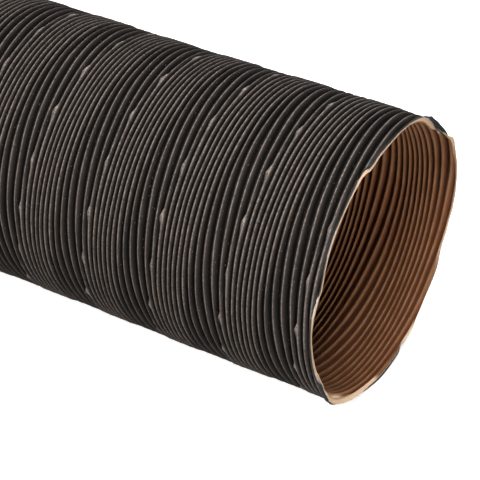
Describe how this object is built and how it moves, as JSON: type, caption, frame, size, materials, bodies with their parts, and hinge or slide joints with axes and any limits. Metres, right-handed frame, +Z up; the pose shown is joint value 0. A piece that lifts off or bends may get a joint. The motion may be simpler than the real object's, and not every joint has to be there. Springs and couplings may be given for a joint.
{
  "type": "flexible air duct",
  "caption": "Round pleated air duct of paper and foil strips, cut square at both mouths, that bends and stretches and keeps the shape it is given.",
  "frame": {"origin": "centre of the front mouth, on the duct's axis, in the plane of the liner's cut edge", "axes": "+X along the axis, out of the front mouth; +Z up, with the duct lying on its side; the duct runs back to -X"},
  "size_m": [0.3, 0.084, 0.084],
  "materials": {
    "outer_paper": "coated, semi-matt",
    "foil": "bright",
    "kraft_liner": "matt"
  },
  "bodies": {
    "bay_01": {"outer_paper_lap_01": "outer_paper", "outer_paper_pleats_01": "outer_paper", "foil_turn_01": "foil", "kraft_turn_01": "kraft_liner", "outer_paper_front_edge": "outer_paper", "foil_front_edge": "foil", "kraft_front_lip": "kraft_liner"},
    "bay_02": {"outer_paper_lap_02": "outer_paper", "outer_paper_pleats_02": "outer_paper", "foil_turn_02": "foil", "kraft_turn_02": "kraft_liner"},
    "bay_03": {"outer_paper_lap_03": "outer_paper", "outer_paper_pleats_03": "outer_paper", "foil_turn_03": "foil", "kraft_turn_03": "kraft_liner"},
    "bay_04": {"outer_paper_lap_04": "outer_paper", "outer_paper_pleats_04": "outer_paper", "foil_turn_04": "foil", "kraft_turn_04": "kraft_liner"},
    "bay_05": {"outer_paper_lap_05": "outer_paper", "outer_paper_pleats_05": "outer_paper", "foil_turn_05": "foil", "kraft_turn_05": "kraft_liner"},
    "bay_06": {"outer_paper_lap_06": "outer_paper", "outer_paper_pleats_06": "outer_paper", "foil_turn_06": "foil", "kraft_turn_06": "kraft_liner"},
    "bay_07": {"outer_paper_lap_07": "outer_paper", "outer_paper_pleats_07": "outer_paper", "foil_turn_07": "foil", "kraft_turn_07": "kraft_liner"},
    "bay_08": {"outer_paper_lap_08": "outer_paper", "outer_paper_pleats_08": "outer_paper", "foil_turn_08": "foil", "kraft_turn_08": "kraft_liner"},
    "bay_09": {"outer_paper_lap_09": "outer_paper", "outer_paper_pleats_09": "outer_paper", "foil_turn_09": "foil", "kraft_turn_09": "kraft_liner"},
    "bay_10": {"outer_paper_lap_10": "outer_paper", "outer_paper_pleats_10": "outer_paper", "foil_turn_10": "foil", "kraft_turn_10": "kraft_liner"},
    "bay_11": {"outer_paper_lap_11": "outer_paper", "outer_paper_pleats_11": "outer_paper", "foil_turn_11": "foil", "kraft_turn_11": "kraft_liner"},
    "bay_12": {"outer_paper_lap_12": "outer_paper", "outer_paper_pleats_12": "outer_paper", "foil_turn_12": "foil", "kraft_turn_12": "kraft_liner"},
    "bay_13": {"outer_paper_lap_13": "outer_paper", "foil_turn_13": "foil", "kraft_turn_13": "kraft_liner", "outer_paper_rear_edge": "outer_paper", "foil_rear_edge": "foil", "kraft_rear_lip": "kraft_liner"}
  },
  "joints": [
    {"name": "side_bend_1", "type": "hinge", "parent": "bay_01", "child": "bay_02", "pos_m": [-0.02037, 0, 0], "axis": [0, -0.0872, 0.9962], "range_deg": [-12, 12], "deforming": ["outer_paper_pleats_01", "foil_turn_01", "kraft_turn_01"]},
    {"name": "stretch_1", "type": "slide", "parent": "bay_02", "child": "bay_03", "axis": [-1, 0, 0], "range_m": [-0.009, 0.012], "deforming": ["outer_paper_pleats_02", "foil_turn_02", "kraft_turn_02"]},
    {"name": "lift_bend_1", "type": "hinge", "parent": "bay_03", "child": "bay_04", "pos_m": [-0.0675, 0, 0], "axis": [0, 0.9962, 0.0872], "range_deg": [-12, 12], "deforming": ["outer_paper_pleats_03", "foil_turn_03", "kraft_turn_03"]},
    {"name": "side_bend_2", "type": "hinge", "parent": "bay_04", "child": "bay_05", "pos_m": [-0.09108, 0, 0], "axis": [0, -0.0872, 0.9962], "range_deg": [-12, 12], "deforming": ["outer_paper_pleats_04", "foil_turn_04", "kraft_turn_04"]},
    {"name": "stretch_2", "type": "slide", "parent": "bay_05", "child": "bay_06", "axis": [-1, 0, 0], "range_m": [-0.009, 0.012], "deforming": ["outer_paper_pleats_05", "foil_turn_05", "kraft_turn_05"]},
    {"name": "lift_bend_2", "type": "hinge", "parent": "bay_06", "child": "bay_07", "pos_m": [-0.13822, 0, 0], "axis": [0, 0.9962, 0.0872], "range_deg": [-12, 12], "deforming": ["outer_paper_pleats_06", "foil_turn_06", "kraft_turn_06"]},
    {"name": "side_bend_3", "type": "hinge", "parent": "bay_07", "child": "bay_08", "pos_m": [-0.16179, 0, 0], "axis": [0, -0.0872, 0.9962], "range_deg": [-12, 12], "deforming": ["outer_paper_pleats_07", "foil_turn_07", "kraft_turn_07"]},
    {"name": "stretch_3", "type": "slide", "parent": "bay_08", "child": "bay_09", "axis": [-1, 0, 0], "range_m": [-0.009, 0.012], "deforming": ["outer_paper_pleats_08", "foil_turn_08", "kraft_turn_08"]},
    {"name": "lift_bend_3", "type": "hinge", "parent": "bay_09", "child": "bay_10", "pos_m": [-0.20892, 0, 0], "axis": [0, 0.9962, 0.0872], "range_deg": [-12, 12], "deforming": ["outer_paper_pleats_09", "foil_turn_09", "kraft_turn_09"]},
    {"name": "side_bend_4", "type": "hinge", "parent": "bay_10", "child": "bay_11", "pos_m": [-0.2325, 0, 0], "axis": [0, -0.0872, 0.9962], "range_deg": [-12, 12], "deforming": ["outer_paper_pleats_10", "foil_turn_10", "kraft_turn_10"]},
    {"name": "stretch_4", "type": "slide", "parent": "bay_11", "child": "bay_12", "axis": [-1, 0, 0], "range_m": [-0.009, 0.012], "deforming": ["outer_paper_pleats_11", "foil_turn_11", "kraft_turn_11"]},
    {"name": "lift_bend_4", "type": "hinge", "parent": "bay_12", "child": "bay_13", "pos_m": [-0.27964, 0, 0], "axis": [0, 0.9962, 0.0872], "range_deg": [-12, 12], "deforming": ["outer_paper_pleats_12", "foil_turn_12", "kraft_turn_12"]}
  ],
  "couplings": [
    {"joint": "side_bend_2", "follows": "side_bend_1", "ratio": 1},
    {"joint": "stretch_2", "follows": "stretch_1", "ratio": 1},
    {"joint": "lift_bend_2", "follows": "lift_bend_1", "ratio": 1},
    {"joint": "side_bend_3", "follows": "side_bend_1", "ratio": 1},
    {"joint": "stretch_3", "follows": "stretch_1", "ratio": 1},
    {"joint": "lift_bend_3", "follows": "lift_bend_1", "ratio": 1},
    {"joint": "side_bend_4", "follows": "side_bend_1", "ratio": 1},
    {"joint": "stretch_4", "follows": "stretch_1", "ratio": 1},
    {"joint": "lift_bend_4", "follows": "lift_bend_1", "ratio": 1}
  ]
}
